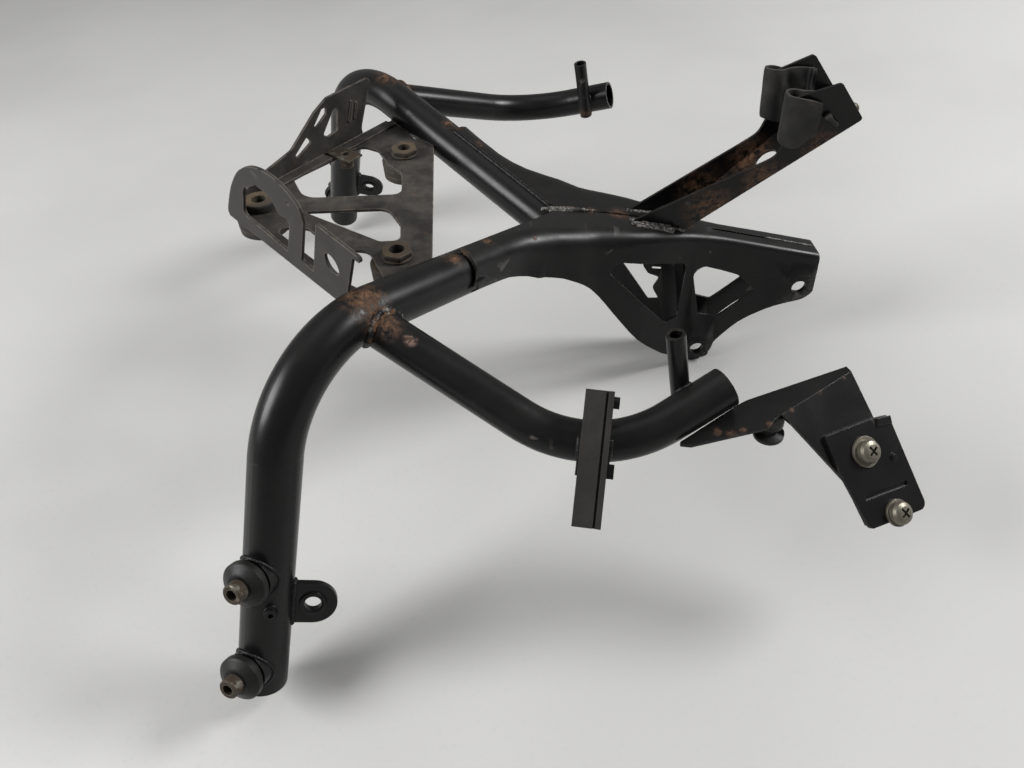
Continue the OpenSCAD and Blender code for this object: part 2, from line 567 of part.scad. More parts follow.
neck_shell(-1);  // neck_shell_left
neck_shell(1);  // neck_shell_right
main_tube(-1);  // main_tube_left
main_tube(1);  // main_tube_right
branch_tube(-1);  // branch_tube_left
branch_tube(1);  // branch_tube_right
spigot(-1);  // spigot_left
spigot(1);  // spigot_right
meter_plate();
meter_flange(-1);  // meter_flange_left
meter_flange(1);  // meter_flange_right
clip_nut();
grommet(grommet_places[0], false);  // grommet_front
grommet(grommet_places[1], true);  // grommet_rear_left
grommet(grommet_places[2], true);  // grommet_rear_right
cup(-1, 0);  // cup_left_upper
cup(-1, 1);  // cup_left_lower
cup(1, 0);  // cup_right_upper
cup(1, 1);  // cup_right_lower
bobbin(-1, 0);  // bobbin_left_upper
bobbin(-1, 1);  // bobbin_left_lower
bobbin(1, 0);  // bobbin_right_upper
bobbin(1, 1);  // bobbin_right_lower
insert(-1, 0);  // insert_left_upper
insert(-1, 1);  // insert_left_lower
insert(1, 0);  // insert_right_upper
insert(1, 1);  // insert_right_lower
leg_tab(-1);  // leg_tab_left
leg_tab(1);  // leg_tab_right
tab_nut(-1);  // tab_nut_left
tab_nut(1);  // tab_nut_right
leg_pin(-1);  // leg_pin_left
leg_pin(1);  // leg_pin_right
channel_arm();
channel_pad(-1);  // channel_pad_left
channel_pad(1);  // channel_pad_right
channel_bolt();
strip_block();
rubber_strip();
side_bracket();
nut_plate();
side_screw(0);  // side_screw_upper
side_screw(1);  // side_screw_lower
side_washer(0);  // side_washer_upper
side_washer(1);  // side_washer_lower
well_nut();
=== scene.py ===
"""Looks of a motorcycle fairing stay: paint, dust, rubber, weld beads and the floor it stands on."""

import math

import bmesh
import bpy
from mathutils import Matrix, Vector
from mathutils.bvhtree import BVHTree


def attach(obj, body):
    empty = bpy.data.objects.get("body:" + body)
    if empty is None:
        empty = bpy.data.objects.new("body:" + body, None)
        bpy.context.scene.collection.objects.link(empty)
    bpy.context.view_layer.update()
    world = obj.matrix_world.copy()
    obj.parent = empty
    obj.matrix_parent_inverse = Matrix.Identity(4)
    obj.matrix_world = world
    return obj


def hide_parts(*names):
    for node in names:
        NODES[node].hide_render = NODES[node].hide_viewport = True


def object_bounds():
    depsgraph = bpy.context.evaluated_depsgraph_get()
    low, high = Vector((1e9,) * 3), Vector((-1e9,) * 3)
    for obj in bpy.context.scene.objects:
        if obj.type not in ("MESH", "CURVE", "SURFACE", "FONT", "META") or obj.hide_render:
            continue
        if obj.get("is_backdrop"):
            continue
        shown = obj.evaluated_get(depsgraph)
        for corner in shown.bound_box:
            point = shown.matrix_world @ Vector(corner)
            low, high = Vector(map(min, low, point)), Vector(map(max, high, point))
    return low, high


bl_info = {
    "name": "Fairing stay looks",
    "version": (1, 0, 0),
    "blender": (4, 5, 0),
    "location": "View3D > Sidebar > Fairing stay",
    "description": "Finishes for a painted tube stay with its brackets, rubbers and screws",
    "category": "Object",
}

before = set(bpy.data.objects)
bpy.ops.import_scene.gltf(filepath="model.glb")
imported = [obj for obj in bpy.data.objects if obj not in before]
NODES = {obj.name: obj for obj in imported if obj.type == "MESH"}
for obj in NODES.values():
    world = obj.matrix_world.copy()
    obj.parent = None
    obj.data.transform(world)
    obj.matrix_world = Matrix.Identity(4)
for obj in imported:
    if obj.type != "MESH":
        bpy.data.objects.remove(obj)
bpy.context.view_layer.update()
MM = 0.001

# Pairs that are welded: the piece whose edges carry the bead, the piece under it, and the bead's share
SIDE_WELDS = (("branch_tube", "main_tube", 1.25), ("spigot", "branch_tube", 0.6), ("leg_pin", "main_tube", 0.4),
              ("leg_tab", "main_tube", 0.8), ("meter_flange", "main_tube", 0.75), ("neck_shell", "main_tube", 0.85))
LEFT_WELDS = (("strip_block", "branch_tube_left", 0.6), ("side_bracket", "branch_tube_left", 0.9))
# Beads along the top seam of the neck, from and to, with their share
SEAM_WELDS = (((-184, 0, 83.0), (-156, 0, 78.6), 0.7), ((-180, 2.0, 82.2), (-163, 1.8, 79.6), 0.6),
              ((-179, -1.9, 82.0), (-165, -1.8, 79.8), 0.6), ((-156, 0, 78.6), (-148, 0, 76.6), 0.4),
              ((-25, 0.5, 37.6), (9, 0, 26.2), 0.4), ((-115, 0, 67.8), (-104, 0, 64.6), 0.5),
              ((-124, -12.6, 71.2), (-97, -13.1, 62.6), 0.9), ((-121, -14.6, 69.8), (-98, -15.0, 62.4), 0.8),
              ((-117, -10.8, 69.4), (-99, -10.8, 63.6), 0.8))


def mirrored(point, side):
    """The point itself for the left side (-1), its mirror image for the right side (1)."""
    return Vector((point[0], -side * point[1], point[2]))


class StaySizes(bpy.types.PropertyGroup):
    """Sizes of the visible details."""

    bead: bpy.props.FloatProperty(name="Weld bead", description="Radius of a weld bead", default=0.0021, min=0.001,
                                  max=0.004, subtype="DISTANCE", unit="LENGTH")
    ripple: bpy.props.FloatProperty(name="Weld ripple", description="Distance between two ripples of a bead",
                                    default=0.0013, min=0.0008, max=0.004, subtype="DISTANCE", unit="LENGTH")
    floor: bpy.props.FloatProperty(name="Floor", description="Half the side of the floor", default=4.0, min=1,
                                   max=10, subtype="DISTANCE", unit="LENGTH")


class StayFinish(bpy.types.PropertyGroup):
    """Colours and amounts of wear."""

    paint: bpy.props.FloatVectorProperty(name="Paint", description="Satin black paint", subtype="COLOR", size=3,
                                         default=(0.0042, 0.0040, 0.0042), min=0, max=1)
    dust: bpy.props.FloatVectorProperty(name="Dust", description="Dust on the paint", subtype="COLOR", size=3,
                                        default=(0.115, 0.104, 0.090), min=0, max=1)
    rust: bpy.props.FloatVectorProperty(name="Rust", description="Rust round the welds", subtype="COLOR", size=3,
                                        default=(0.080, 0.040, 0.022), min=0, max=1)
    rubber: bpy.props.FloatVectorProperty(name="Rubber", description="Matt rubber", subtype="COLOR", size=3,
                                          default=(0.016, 0.016, 0.016), min=0, max=1)
    zinc: bpy.props.FloatVectorProperty(name="Zinc", description="Tarnished zinc", subtype="COLOR", size=3,
                                        default=(0.19, 0.175, 0.14), min=0, max=1)
    floor: bpy.props.FloatVectorProperty(name="Floor", description="Pale floor", subtype="COLOR", size=3,
                                         default=(0.475, 0.472, 0.46), min=0, max=1)
    wear: bpy.props.FloatProperty(name="Wear", description="How far scratches and bare edges go", default=1.0,
                                  min=0, max=2, subtype="FACTOR")


class Signal:
    """A node's output that Python's operators turn into further nodes."""

    def __init__(self, finish, socket):
        self.finish, self.socket = finish, socket

    def math(self, operation, *others, clamp=False):
        return self.finish.node("ShaderNodeMath", dict(operation=operation, use_clamp=clamp),
                                dict(enumerate((self,) + others)))

    def __add__(self, other):
        return self.math("ADD", other)

    def __sub__(self, other):
        return self.math("SUBTRACT", other)

    def __rsub__(self, other):
        return self.finish.node("ShaderNodeMath", dict(operation="SUBTRACT"), {0: other, 1: self})

    def __mul__(self, other):
        return self.math("MULTIPLY", other)

    def __truediv__(self, other):
        return self.math("DIVIDE", other)

    def __pow__(self, other):
        return self.math("POWER", other)

    __radd__, __rmul__ = __add__, __mul__

    def clamp(self):
        return self.math("ADD", 0.0, clamp=True)

    def ramp(self, low, high):
        """0 below low, 1 above high, smooth between."""
        return self.finish.node("ShaderNodeMapRange", dict(interpolation_type="SMOOTHSTEP"),
                                {"Value": self, "From Min": low, "From Max": high})


class Finish:
    """A material under construction."""

    def __init__(self, name):
        self.material = bpy.data.materials.new(name)
        self.material.use_nodes = True
        self.tree = self.material.node_tree
        self.tree.nodes.clear()
        self.coord = self.node("ShaderNodeTexCoord", {}, {}, "Object")
        self.normal = self.node("ShaderNodeNewGeometry", {}, {}, "Normal")

    def node(self, kind, settings=None, values=None, output=0):
        """One node: its settings, then the values or links of its sockets, and the output that is wanted."""
        made = self.tree.nodes.new(kind)
        for key, value in (settings or {}).items():
            if key == "stops":
                stops = made.color_ramp.elements
                for i, (place, colour) in enumerate(value):
                    stop = stops[i] if i < 2 else stops.new(place)
                    stop.position, stop.color = place, (*colour, 1)
            else:
                setattr(made, key, value)
        for key, value in (values or {}).items():
            if isinstance(value, Signal):
                self.tree.links.new(value.socket, made.inputs[key])
            else:
                made.inputs[key].default_value = value
        return Signal(self, made.outputs[output])

    def noise(self, scale, detail=3.0, roughness=0.55, at=None, distortion=0.0):
        return self.node("ShaderNodeTexNoise", {}, {"Vector": at or self.coord, "Scale": scale, "Detail": detail,
                                                    "Roughness": roughness, "Distortion": distortion})

    def cells(self, scale, at=None, feature="F1"):
        return self.node("ShaderNodeTexVoronoi", dict(feature=feature), {"Vector": at or self.coord, "Scale": scale})

    def stretched(self, turn, scale):
        """Coordinates turned and stretched, for streaks and scratches."""
        return self.node("ShaderNodeMapping", {}, {"Vector": self.coord, "Rotation": turn, "Scale": scale})

    def axis(self, name, of=None):
        return self.node("ShaderNodeSeparateXYZ", {}, {0: of or self.coord}, name)

    def near(self, point, radius, soft=0.5):
        """1 at a point given in millimetres, 0 outside the radius; the same on both sides of the part."""
        folded = self.node("ShaderNodeCombineXYZ", {}, {0: self.axis("X"), 1: self.axis("Y").math("ABSOLUTE") * -1.0,
                                                       2: self.axis("Z")})
        return self.near_in(folded, point, radius, soft)

    def near_in(self, place, point, radius, soft=0.5):
        gap = self.node("ShaderNodeVectorMath", dict(operation="DISTANCE"),
                        {0: place, 1: [c * MM for c in point]}, "Value")
        return 1 - gap.ramp(radius * MM * (1 - soft), radius * MM)

    def mix(self, first, second, share):
        """Colour between two colours."""
        made = self.node("ShaderNodeMix", dict(data_type="RGBA"), {0: share}, 2)
        inputs = made.socket.node.inputs
        for slot, value in ((inputs[6], first), (inputs[7], second)):
            if isinstance(value, Signal):
                self.tree.links.new(value.socket, slot)
            else:
                slot.default_value = (*value, 1)
        return made

    def edges(self, radius):
        """1 along sharp edges."""
        bevel = self.node("ShaderNodeBevel", dict(samples=4), {"Radius": radius})
        flat = self.node("ShaderNodeVectorMath", dict(operation="DOT_PRODUCT"), {0: bevel, 1: self.normal}, "Value")
        return (1 - flat) * 4.0

    def scratches(self, scale, share, turn=(0.3, 0.2, 0.5)):
        """Fine straight scuffs in patches; a smaller share leaves fewer."""
        place = self.stretched(turn, (1.0, 0.035, 1.0))
        line = self.noise(scale * 6, 1.0, 0.4, place).ramp(0.66, 0.72)
        return line * self.noise(scale, 2.0).ramp(0.98 - share, 1.08 - share)

    def surface(self, colour, roughness, height, metallic=0.0, coat=0.0, specular=0.5, depth=0.0004, soften=0.0006):
        """The shader itself, with its relief."""
        start = self.node("ShaderNodeBevel", dict(samples=4), {"Radius": soften})
        bump = self.node("ShaderNodeBump", {}, {"Height": height, "Distance": depth, "Strength": 1.0, "Normal": start})
        shader = self.node("ShaderNodeBsdfPrincipled", {}, {
            "Base Color": colour if isinstance(colour, Signal) else (*colour, 1), "Roughness": roughness,
            "Metallic": metallic, "Coat Weight": coat, "Specular IOR Level": specular, "Normal": bump})
        self.node_output(shader)
        return self.material

    def node_output(self, shader):
        out = self.tree.nodes.new("ShaderNodeOutputMaterial")
        self.tree.links.new(shader.socket, out.inputs[0])


def finish_of():
    return bpy.context.scene.stay_finish


RUST_SPOTS = (((-284, -143, 130), 17), ((-276, -153, 122), 13), ((-243, -88, 110), 8), ((-129, -178, 66), 9),
              ((-181, -206, 76), 8))
BARE_SPOTS = (((-264, -160, 116), 6), ((-203, -42, 93), 3), ((-192, -47, 92), 2.5))
NECK_SPOTS = (((-84, 0, 60), 9), ((-150, 0, 78), 6), ((-238, -82, 108), 7), ((-222, -64, 104), 5),
              ((-132, 0, 72), 10), ((-107, 0, 65), 8))
CHANNEL_SPOTS = (((-72, -9, 75), 24), ((-85, -11, 60), 7), ((-40, -14, 95), 20), ((-10, -17, 118), 16))
SIDE_SPOTS = (((-117, -200, 64), 4), ((-110, -203, 64), 4), ((-104, -201, 64), 3), ((-90, -199, 64), 3),
              ((-76, -191, 64), 2), ((-58, -181, 64), 2), ((-42, -172, 64), 2))


def spots_of(finish, spots, soft=0.8):
    """1 inside any of the given spots."""
    best = None
    for point, radius in spots:
        spot = finish.near(point, radius, soft)
        best = spot if best is None else best.math("MAXIMUM", spot)
    return best


def gloss_paint(name, grime=1.0, rust_spots=(), rust_share=1.0, bare_spots=()):
    """Black paint, still glossy, with a film of grime, scuffs, chipped edges, rust and bare spots."""
    look = finish_of()
    f = Finish(name)
    mottle = f.noise(45.0, 4.0)
    fine = f.noise(420.0, 3.0)
    up = f.axis("Z", f.normal)
    film = ((mottle.ramp(0.35, 0.8) * 0.5 + up.ramp(0.1, 1.0) * 0.5) * (0.4 + fine * 0.6) * grime).clamp()
    colour = f.mix(look.paint, look.dust, film * 0.06)
    scratch = f.scratches(22.0, 0.42)
    colour = f.mix(colour, (0.13, 0.12, 0.11), scratch * 0.5 * look.wear)
    edge = (f.edges(0.0007) * f.noise(160.0, 3.0).ramp(0.50, 0.66)).clamp()
    colour = f.mix(colour, (0.10, 0.085, 0.07), edge * 0.6 * look.wear)
    grain = f.noise(230.0, 5.0, 0.7)
    rust = spots_of(f, rust_spots) if rust_spots else f.noise(30.0, 2.0).ramp(0.76, 0.84)
    rust = (rust * grain.ramp(0.38, 0.60)).clamp() * rust_share
    colour = f.mix(colour, f.mix(look.rust, (0.15, 0.082, 0.045), fine.ramp(0.4, 0.7)), rust)
    if bare_spots:
        bare = (spots_of(f, bare_spots, 0.5) * grain.ramp(0.40, 0.52)).clamp()
        colour = f.mix(colour, f.mix((0.20, 0.125, 0.10), (0.06, 0.035, 0.025), fine.ramp(0.45, 0.6)), bare)
        rust = rust.math("MAXIMUM", bare)
    rough = (0.22 + mottle * 0.09 + film * 0.16 + rust * 0.40).clamp()
    height = fine * 0.05 + mottle * 0.25 + rust * grain * 1.2 - scratch * 0.15
    return f.surface(colour, rough, height, depth=0.00025, specular=0.22)


def bracket_dust():
    """Black paint under a worn film of grey-brown dust."""
    look = finish_of()
    f = Finish("bracket_dust")
    broad = f.noise(26.0, 5.0, 0.6)
    fine = f.noise(380.0, 4.0, 0.65)
    up = f.axis("Z", f.normal).ramp(-0.3, 0.9)
    blotch = f.noise(60.0, 6.0, 0.7).ramp(0.38, 0.66)
    film = ((0.26 + up * 0.28) * (0.3 + broad.ramp(0.3, 0.7) * 0.7 + blotch * 0.7) * (0.6 + fine * 0.7)).clamp()
    colour = f.mix((0.007, 0.0066, 0.0062), look.dust, film * 0.62)
    wiped = f.scratches(18.0, 0.45, (0.1, 0.0, 0.9))
    colour = f.mix(colour, (0.17, 0.16, 0.145), wiped * 0.25)
    edge = (f.edges(0.0011) * f.noise(120.0, 3.0).ramp(0.34, 0.55)).clamp()
    colour = f.mix(colour, (0.21, 0.18, 0.15), edge * 0.8)
    spots = f.noise(95.0, 3.0).ramp(0.68, 0.76)
    colour = f.mix(colour, look.rust, spots * 0.35)
    rough = (0.40 + film * 0.34 + broad * 0.08).clamp()
    return f.surface(colour, rough, fine * 0.12 + broad * 0.4 + spots * 0.2, depth=0.00025, specular=0.2)


def old_rubber(name, lift=1.0, dust=0.5, tint=None, rough=0.6):
    """Matt rubber with dust, or a stain of its own, in its pores."""
    look = finish_of()
    tint = tint or look.dust
    f = Finish(name)
    broad = f.noise(60.0, 4.0)
    fine = f.noise(700.0, 3.0)
    up = f.axis("Z", f.normal).ramp(0.0, 1.0)
    film = ((broad.ramp(0.35, 0.75) * 0.6 + up * 0.5) * (0.4 + fine)).clamp()
    colour = f.mix([c * lift for c in look.rubber], tint, (film * dust * 0.5).clamp())
    pale = (f.edges(0.0008) * f.noise(200.0).ramp(0.4, 0.6)).clamp()
    colour = f.mix(colour, (0.13, 0.12, 0.105), pale * 0.5 * dust)
    return f.surface(colour, (rough + film * 0.22).clamp(), fine * 0.25 + broad * 0.5, depth=0.0003, soften=0.0008,
                     specular=0.22)


def tarnished_zinc(name, brown=0.5):
    """Dull zinc gone brown in patches, with a painted highlight along its sharp edges."""
    look = finish_of()
    f = Finish(name)
    broad = f.noise(130.0, 4.0)
    fine = f.noise(900.0, 3.0)
    stain = (broad.ramp(0.30, 0.60) * (0.6 + fine * 0.6) * brown).clamp()
    colour = f.mix(look.zinc, (0.040, 0.028, 0.018), stain)
    # Painted highlight: every sharp edge is mixed halfway towards a pale zinc colour
    edge = f.edges(0.0005).clamp()
    colour = f.mix(colour, (0.36, 0.34, 0.29), edge * 0.5)
    return f.surface(colour, (0.34 + stain * 0.35 + fine * 0.08).clamp(), fine * 0.2 + stain * 0.2,
                     metallic=(0.9 - stain * 0.5).clamp(), depth=0.00015, soften=0.0003)


def weld_metal(name, paint=0.6, rust=0.5):
    """A bead that keeps some paint and some rust."""
    look = finish_of()
    f = Finish(name)
    broad = f.noise(110.0, 3.0)
    fine = f.noise(600.0, 4.0)
    bare = f.mix((0.17, 0.165, 0.155), (0.035, 0.031, 0.028), fine.ramp(0.38, 0.58))
    colour = f.mix(bare, look.paint, broad.ramp(0.80 - paint * 0.6, 0.88 - paint * 0.6))
    rusty = f.noise(170.0, 4.0, 0.65).ramp(0.70 - rust * 0.35, 0.80 - rust * 0.3)
    colour = f.mix(colour, f.mix(look.rust, (0.15, 0.08, 0.04), fine), rusty)
    return f.surface(colour, (0.42 + rusty * 0.4 + fine * 0.1).clamp(), fine * 0.5 + broad * 0.3,
                     metallic=0.25, depth=0.0003, soften=0.0003, specular=0.35)


def dress(material, *names):
    """Gives CAD nodes a material."""
    for name in names:
        for slot in NODES[name].material_slots:
            slot.material = material


def surface_of(name):
    """Search tree of a CAD node's surface, in metres."""
    mesh = NODES[name].data
    return BVHTree.FromPolygons([v.co.copy() for v in mesh.vertices], [tuple(p.vertices) for p in mesh.polygons])


def contact_lines(name, under, reach=0.0006, bend=0.4):
    """Edges of a node that lie on another node: points and pairs, in metres."""
    trees = [surface_of(n) for n in NODES if n.startswith(under)]
    shape = bmesh.new()
    shape.from_mesh(NODES[name].data)
    bmesh.ops.remove_doubles(shape, verts=shape.verts, dist=1e-6)
    points, lines, number = [], [], {}
    for edge in shape.edges:
        sharp = len(edge.link_faces) != 2 or edge.calc_face_angle() > bend
        ends = [v.co for v in edge.verts]
        probes = ends + [(ends[0] + ends[1]) / 2]
        if not sharp or any(min(t.find_nearest(p)[3] for t in trees) > reach for p in probes):
            continue
        for vert in edge.verts:
            if vert.index not in number:
                number[vert.index] = len(points)
                points.append(vert.co.copy())
        lines.append(tuple(number[v.index] for v in edge.verts))
    shape.free()
    return points, lines


def bead_tree():
    """Geometry nodes that lay overlapping ripples along a path."""
    tree = bpy.data.node_groups.new("weld_bead", "GeometryNodeTree")
    face = tree.interface
    face.new_socket("Geometry", in_out="INPUT", socket_type="NodeSocketGeometry")
    for name, value in (("Bead radius", 0.002), ("Ripple pitch", 0.0016)):
        face.new_socket(name, in_out="INPUT", socket_type="NodeSocketFloat").default_value = value
    face.new_socket("Finish", in_out="INPUT", socket_type="NodeSocketMaterial")
    face.new_socket("Geometry", in_out="OUTPUT", socket_type="NodeSocketGeometry")

    def add(kind, settings=None, values=None):
        made = tree.nodes.new(kind)
        for key, value in (settings or {}).items():
            setattr(made, key, value)
        for key, value in (values or {}).items():
            if isinstance(value, bpy.types.NodeSocket):
                tree.links.new(value, made.inputs[key])
            else:
                made.inputs[key].default_value = value
        return made

    given = add("NodeGroupInput").outputs
    path = add("GeometryNodeMeshToCurve", {}, {"Mesh": given["Geometry"]})
    steps = add("GeometryNodeResampleCurve", {"mode": "LENGTH"}, {"Curve": path.outputs[0], "Length": given["Ripple pitch"]})
    drop = add("GeometryNodeMeshIcoSphere", {}, {"Radius": given["Bead radius"], "Subdivisions": 2})
    tangent = add("GeometryNodeInputTangent")
    turn = add("FunctionNodeAlignRotationToVector", {"axis": "Z"}, {"Vector": tangent.outputs[0]})
    size = add("FunctionNodeRandomValue", {"data_type": "FLOAT_VECTOR"}, {"Seed": 7})
    size.inputs[0].default_value = (0.84, 0.84, 0.80)
    size.inputs[1].default_value = (1.10, 1.10, 1.10)
    laid = add("GeometryNodeInstanceOnPoints", {}, {"Points": steps.outputs[0], "Instance": drop.outputs[0],
                                                   "Rotation": turn.outputs[0], "Scale": size.outputs[0]})
    real = add("GeometryNodeRealizeInstances", {}, {0: laid.outputs[0]})
    smooth = add("GeometryNodeSetShadeSmooth", {}, {0: real.outputs[0]})
    finished = add("GeometryNodeSetMaterial", {}, {"Geometry": smooth.outputs[0], "Material": given["Finish"]})
    add("NodeGroupOutput", {}, {0: finished.outputs[0]})
    return tree


def bake_tree(name, mesh, tree, inputs):
    """Runs a geometry node tree on a mesh and keeps the result as a plain object."""
    carrier = bpy.data.objects.new(name + "_path", mesh)
    bpy.context.collection.objects.link(carrier)
    modifier = carrier.modifiers.new("nodes", "NODES")
    modifier.node_group = tree
    for item in tree.interface.items_tree:
        if item.in_out == "INPUT" and item.name in inputs:
            modifier[item.identifier] = inputs[item.name]
    result = bpy.data.meshes.new_from_object(carrier.evaluated_get(bpy.context.evaluated_depsgraph_get()))
    bpy.data.objects.remove(carrier)
    made = bpy.data.objects.new(name, result)
    bpy.context.collection.objects.link(made)
    return made


def lay_beads(name, points, lines, material, radius, pitch):
    """Weld beads along lines between points, in metres."""
    mesh = bpy.data.meshes.new(name + "_path")
    mesh.from_pydata(points, lines, [])
    made = bake_tree(name, mesh, bead_tree(), {"Bead radius": radius, "Ripple pitch": pitch, "Finish": material})
    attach(made, "root")
    return made


# Hole of the left leg tab: centre, normal, and the ring round it as radius and height
TAB_HOLE, TAB_NORMAL = Vector((-338.4, -227.6, -5.0)), Vector((0.159, -0.93, 0.334)).normalized()
TAB_RING = ((4.55, -1.9), (5.6, -2.5), (7.0, -2.3), (7.6, -1.2), (7.6, 1.2), (7.1, 2.5), (5.6, 2.7), (4.55, 2.0))


def tab_ring(side, word, material):
    """The raised ring round the hole of a leg tab."""
    centre, axis = mirrored(TAB_HOLE, side), mirrored(TAB_NORMAL, side)
    across = axis.orthogonal().normalized()
    other = axis.cross(across)
    rings = []
    for k in range(48):
        a = 2 * math.pi * k / 48
        out = across * math.cos(a) + other * math.sin(a)
        rings.append([centre + out * r + axis * h for r, h in TAB_RING])
    solid("tab_ring_" + word, rings, True, material, ("tab_nut_" + word,))


# The main tube's straight: start, direction, and the collar's inner and outer radius
TUBE_START, TUBE_RUN = Vector((-173.6, 0, 64.5)), Vector((-147.4, -176, 67.5)).normalized()
COLLAR_IN, COLLAR_OUT = 13.75, 15.6


def hugging_shell(side, word, material):
    """A neck shell with smooth shading, whose collar closes round the main tube."""
    name = "neck_shell_" + word
    shape = bmesh.new()
    shape.from_mesh(NODES[name].data)
    bmesh.ops.remove_doubles(shape, verts=shape.verts, dist=2e-6)
    run = Vector((TUBE_RUN[0], -side * TUBE_RUN[1], TUBE_RUN[2]))
    for vert in shape.verts:
        place = vert.co / MM - TUBE_START
        along = place.dot(run)
        off = place - run * along
        share = min(max((along - 52) / 26, 0), 1)
        if share and off[2] < 6 and off.length > 1:
            wanted = COLLAR_OUT if off.length > COLLAR_OUT else max(off.length, COLLAR_IN)
            vert.co = (TUBE_START + run * along + off * (1 + (wanted / off.length - 1) * share)) * MM
    mesh = bpy.data.meshes.new(name + "_smooth")
    shape.to_mesh(mesh)
    shape.free()
    mesh.shade_smooth()
    mesh.set_sharp_from_angle(angle=math.radians(32))
    mesh.materials.clear()
    mesh.materials.append(material)
    for face in mesh.polygons:
        face.material_index = 0
    made = bpy.data.objects.new(name + "_smooth", mesh)
    bpy.context.collection.objects.link(made)
    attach(made, "root")
    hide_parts(name)


class STAY_OT_paint(bpy.types.Operator):
    """Paints the tubes, the neck and the welded fittings."""

    bl_idname = "stay.paint"
    bl_label = "Paint the frame"

    def execute(self, context):
        tubes = gloss_paint("tube_paint", 1.0, RUST_SPOTS, 1.0, BARE_SPOTS)
        dress(tubes, *[n for n in NODES if n.startswith(("main_tube", "branch_tube", "spigot", "strip_block"))])
        neck = gloss_paint("neck_paint", 1.5, NECK_SPOTS, 0.8, BARE_SPOTS)
        for side, word in ((-1, "left"), (1, "right")):
            hugging_shell(side, word, neck)
        dress(gloss_paint("fitting_paint", 0.8, [((-356, -225, 10), 6)], 0.6),
              *[n for n in NODES if n.startswith(("cup", "leg_tab", "tab_nut", "leg_pin"))])
        dress(gloss_paint("channel_paint", 1.1, CHANNEL_SPOTS, 0.7), "channel_arm")
        for side, word in ((-1, "left"), (1, "right")):
            tab_ring(side, word, tubes)
        dress(gloss_paint("side_paint", 0.9, SIDE_SPOTS, 0.7), "side_bracket")
        dress(gloss_paint("plate_paint", 0.5), "nut_plate")
        return {"FINISHED"}


class STAY_OT_bracket(bpy.types.Operator):
    """Lays dust on the meter bracket."""

    bl_idname = "stay.bracket"
    bl_label = "Dust the meter bracket"

    def execute(self, context):
        dress(bracket_dust(), "meter_plate", "meter_flange_left", "meter_flange_right")
        return {"FINISHED"}


def smooth_path(points, steps):
    """Curve through the points of a list."""
    path = []
    for i in range(len(points) - 1):
        p0, p1, p2, p3 = (Vector(points[min(max(i + k, 0), len(points) - 1)]) for k in (-1, 0, 1, 2))
        for k in range(steps):
            t = k / steps
            path.append(0.5 * (2 * p1 + (p2 - p0) * t + (2 * p0 - 5 * p1 + 4 * p2 - p3) * t * t
                               + (3 * p1 - p0 - 3 * p2 + p3) * t ** 3))
    return path + [Vector(points[-1])]


def solid(name, rings, closed, material, nodes=()):
    """A smooth piece skinned over rings of points in millimetres; closed joins the last ring to the first."""
    count = len(rings[0])
    mesh = bpy.data.meshes.new(name)
    faces = []
    for i in range(len(rings) if closed else len(rings) - 1):
        j = (i + 1) % len(rings)
        faces += [(i * count + k, i * count + (k + 1) % count, j * count + (k + 1) % count, j * count + k)
                  for k in range(count)]
    if not closed:
        faces += [tuple(reversed(range(count))), tuple(len(rings) * count - count + k for k in range(count))]
    mesh.from_pydata([Vector(p) * MM for ring in rings for p in ring], [], faces)
    shape = bmesh.new()
    shape.from_mesh(mesh)
    bmesh.ops.recalc_face_normals(shape, faces=shape.faces)
    shape.to_mesh(mesh)
    shape.free()
    mesh.shade_smooth()
    mesh.set_sharp_from_angle(angle=math.radians(38))
    mesh.materials.append(material)
    made = bpy.data.objects.new(name, mesh)
    bpy.context.collection.objects.link(made)
    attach(made, "root")
    if nodes:
        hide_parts(*nodes)
    return made


# The wall of the channel arm: its foot, the rise of the web, the flare of the walls and half the inner width
ARM_FOOT, ARM_RISE, WALL_FLARE, ARM_HALF = Vector((-78.4, 0, 69.4)), math.radians(35.7), math.radians(6.12), 10
# Front edge of an ear: where it starts, along it and into the wall
EAR_START, EAR_ALONG, EAR_IN = Vector((70, 14.4)), Vector((0.5816, 0.8135)), Vector((0.8135, -0.5816))
# The folded pad seen along the ear's edge: distance into the ear, height over the wall's inner face, low end, high end
PAD_FOLD = ((16.4, 3.9, 4.5, 24.6), (12, 4.7, 2.2, 26.6), (7, 5.6, -1.6, 28.6), (2, 6.0, -2.6, 30.2),
            (-2.6, 4.6, -1.0, 31), (-4.4, 1.2, 0, 31.4), (-3.8, -2.2, 0, 31.6), (-0.6, -4.4, -1, 31),
            (3.4, -4.6, -3, 30.4), (7, -2.9, -4, 30), (11, -1.9, -3.6, 30), (17, -2.5, -2, 29.5), (22, -2.2, 0, 28.6),
            (23.2, -3.1, 0.6, 28.4), (24.6, -3.1, 1.0, 28.2), (25.4, -2.0, 1.4, 28), (28, -1.9, 2.5, 26.6))
PAD_HALF = 1.05


def wall_point(x, y, z, side):
    """A point given along the web, up the wall and out of it."""
    ahead = x * math.cos(WALL_FLARE) - z * math.sin(WALL_FLARE)
    out = ARM_HALF + x * math.sin(WALL_FLARE) + z * math.cos(WALL_FLARE)
    return ARM_FOOT + Vector((ahead * math.cos(ARM_RISE) - y * math.sin(ARM_RISE), side * out,
                              ahead * math.sin(ARM_RISE) + y * math.cos(ARM_RISE)))


